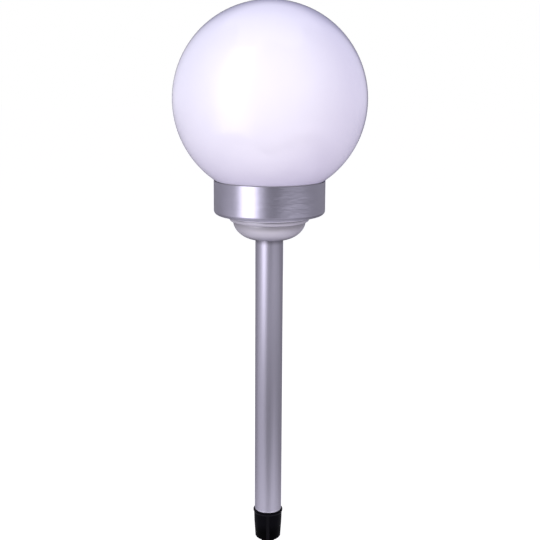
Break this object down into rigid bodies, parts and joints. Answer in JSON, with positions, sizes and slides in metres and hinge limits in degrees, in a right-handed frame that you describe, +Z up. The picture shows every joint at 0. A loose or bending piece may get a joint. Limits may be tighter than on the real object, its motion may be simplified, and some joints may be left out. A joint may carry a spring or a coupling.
{
  "type": "solar path light",
  "caption": "Solar path light: opal ball shade on a steel-banded lamp base, steel pole and ground spike, with a solar panel, battery, lamps and switch under the ball.",
  "frame": {"origin": "middle of the underside of the spike's collar, at the soil line", "axes": "+Z up along the pole, away from the soil; +X along the battery; the switch lies at +X, -Y"},
  "size_m": [0.2, 0.2, 0.732],
  "materials": {
    "opal_plastic": "opal white, satin",
    "band_steel": "brushed round the band",
    "pole_steel": "satin",
    "silver_plastic": "silver paint, satin",
    "black_plastic": "moulded, slightly glossy",
    "base_plastic": "moulded grey",
    "tray_plastic": "white, satin",
    "seal_rubber": "matt black",
    "circuit_green": "lacquered board",
    "chip_black": "moulded black",
    "coil_copper": "enamelled wire",
    "led_clear": "clear epoxy with a yellow chip",
    "silicon_blue": "dark blue with fine silver lines",
    "clear_resin": "clear, glossy",
    "panel_backing": "white board",
    "battery_can": "plain green sleeve",
    "contact_metal": "nickel plated",
    "screw_steel": "zinc plated",
    "lead_red": "plastic insulation"
  },
  "bodies": {
    "spike": {"ground_spike": "black_plastic"},
    "pole": {"pole_tube": "pole_steel"},
    "head": {"pole_holder": "silver_plastic", "steel_band": "band_steel", "lamp_base": "base_plastic", "neck_seal": "seal_rubber", "base_screws": "screw_steel", "solar_tray": "tray_plastic", "tray_screws": "screw_steel", "panel_board": "panel_backing", "solar_cells": "silicon_blue", "panel_resin": "clear_resin", "circuit_board": "circuit_green", "board_screws": "screw_steel", "led_1": "led_clear", "led_2": "led_clear", "led_3": "led_clear", "led_4": "led_clear", "driver_chip": "chip_black", "inductor_coil": "coil_copper", "switch_body": "black_plastic", "battery": "battery_can", "battery_contact_plus": "contact_metal", "battery_contact_minus": "contact_metal", "solar_leads": "lead_red"},
    "globe": {"globe_shade": "opal_plastic"},
    "switch": {"switch_slider": "black_plastic"}
  },
  "joints": [
    {"name": "pole_lift", "type": "slide", "parent": "spike", "child": "pole", "axis": [0, 0, 1], "range_m": [0, 0.03]},
    {"name": "head_lift", "type": "slide", "parent": "pole", "child": "head", "axis": [0, 0, 1], "range_m": [0, 0.025]},
    {"name": "globe_twist", "type": "hinge", "parent": "head", "child": "globe", "pos_m": [0, 0, 0.482], "axis": [0, 0, 1], "range_deg": [0, 30]},
    {"name": "switch_slide", "type": "slide", "parent": "head", "child": "switch", "axis": [0, 1, 0], "range_m": [0, 0.003]}
  ]
}
